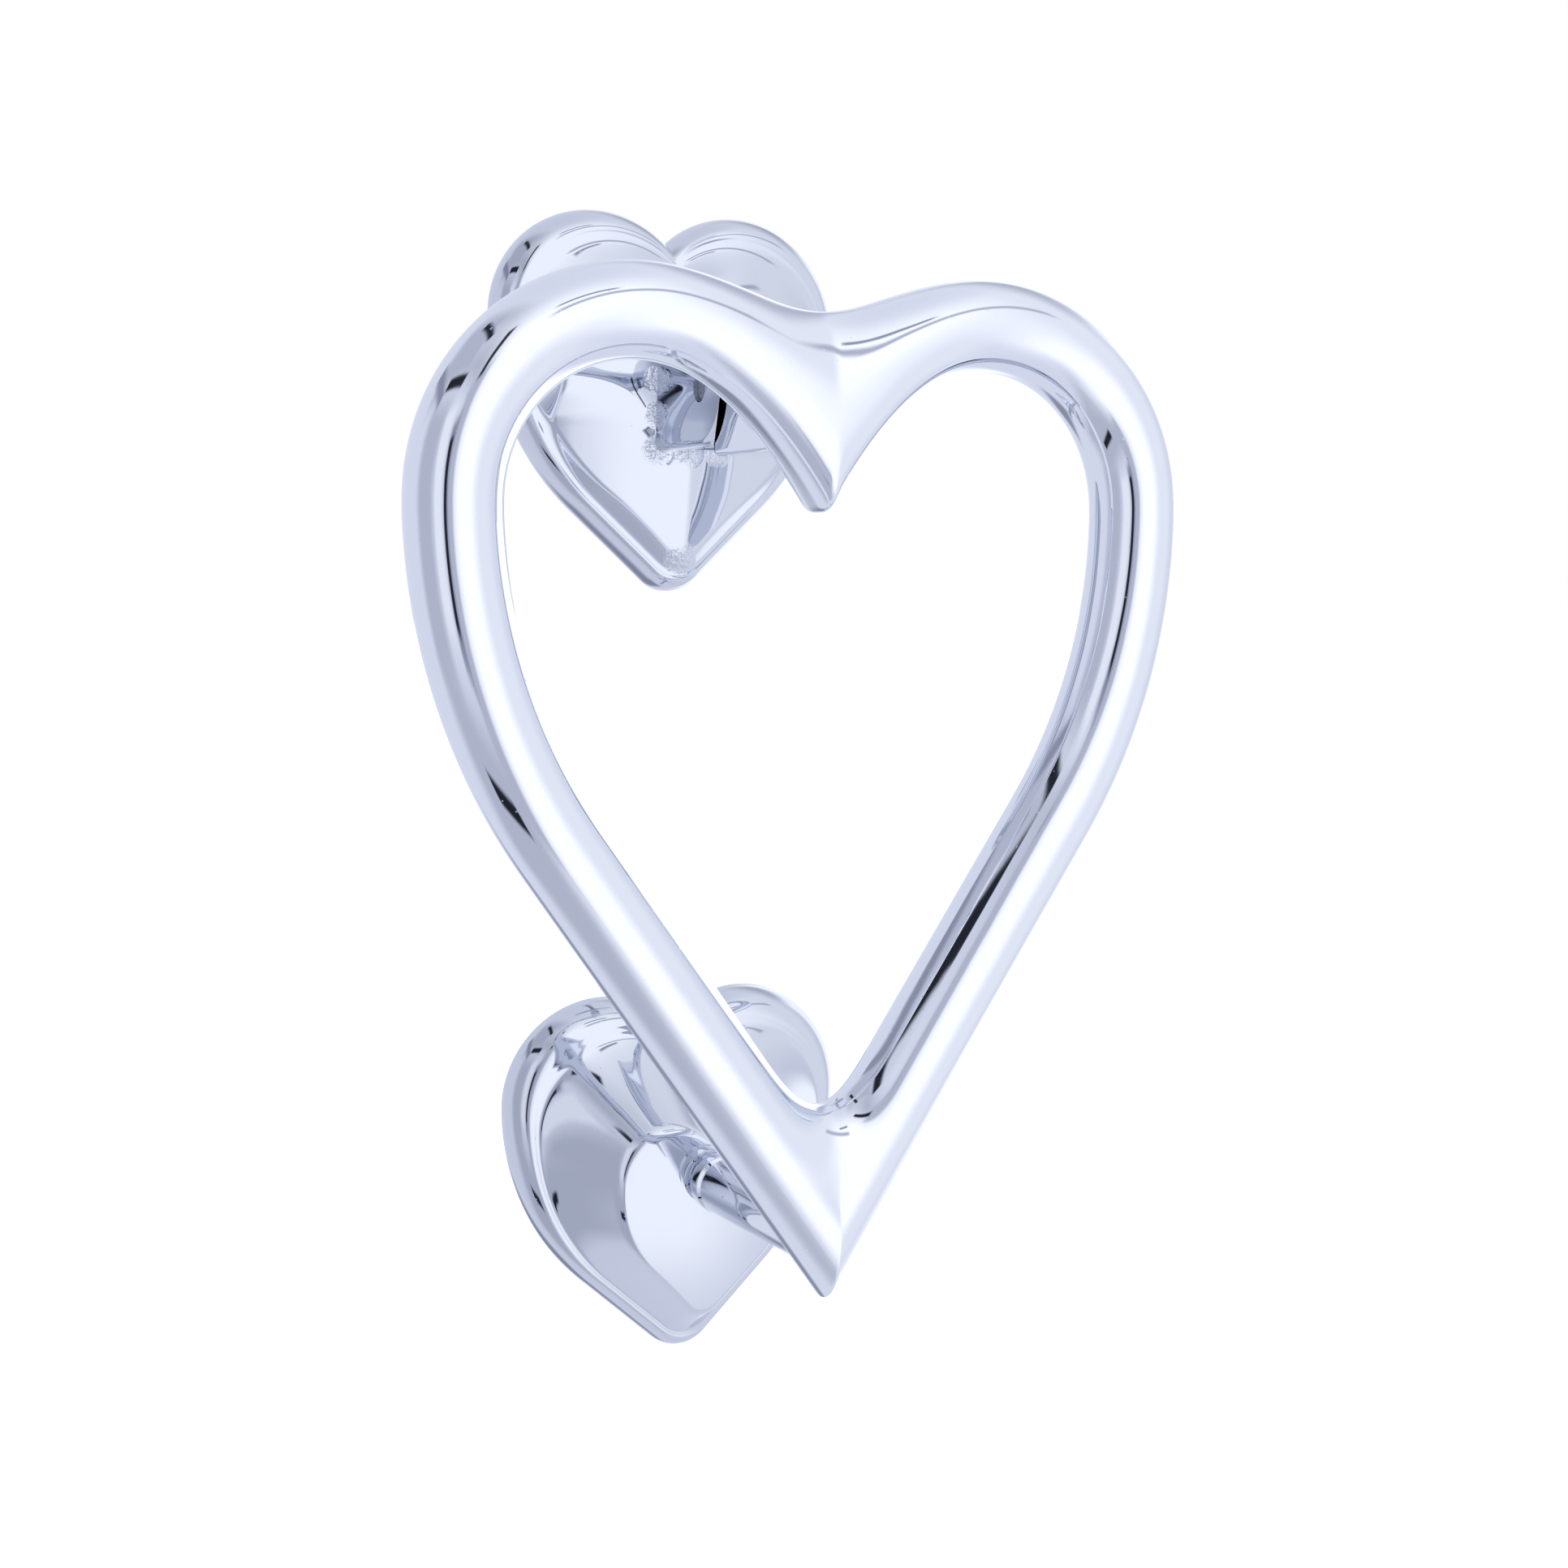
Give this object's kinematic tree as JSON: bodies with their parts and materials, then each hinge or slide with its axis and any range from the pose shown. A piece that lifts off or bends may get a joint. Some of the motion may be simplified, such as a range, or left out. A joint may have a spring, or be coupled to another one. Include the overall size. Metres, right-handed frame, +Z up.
{
  "type": "door knocker",
  "caption": "Heart-shaped ring door knocker: swinging ring hinged on a heart base, striking a second heart base by a stud, bolted through the door.",
  "frame": {"origin": "upper fixing axis at the door's outer face, in the plane of the upper base's back", "axes": "+Z up the door, +Y into the door, -Y out towards the caller, +X to the right seen from in front"},
  "size_m": [0.109, 0.1119, 0.1697],
  "materials": {
    "base_chrome": "mirror-polished chrome plate over cast brass",
    "ring_chrome": "mirror-polished chrome plate over cast brass",
    "stud_chrome": "mirror-polished chrome plate, turned",
    "pin_steel": "ground steel",
    "bolt_steel": "zinc-plated threaded steel",
    "washer_steel": "zinc-plated steel",
    "nut_chrome": "chrome-plated domed nut"
  },
  "bodies": {
    "bases": {"upper_base": "base_chrome", "lower_base": "base_chrome", "hinge_pin": "pin_steel", "upper_bolt": "bolt_steel", "upper_washer": "washer_steel", "upper_nut": "nut_chrome", "lower_bolt": "bolt_steel", "lower_washer": "washer_steel", "lower_nut": "nut_chrome"},
    "striker": {"heart_ring": "ring_chrome", "strike_stud": "stud_chrome"}
  },
  "joints": [
    {"name": "ring_swing", "type": "hinge", "parent": "bases", "child": "striker", "pos_m": [0, -0.025, 0], "axis": [-1, 0, 0], "range_deg": [0, 80]}
  ]
}
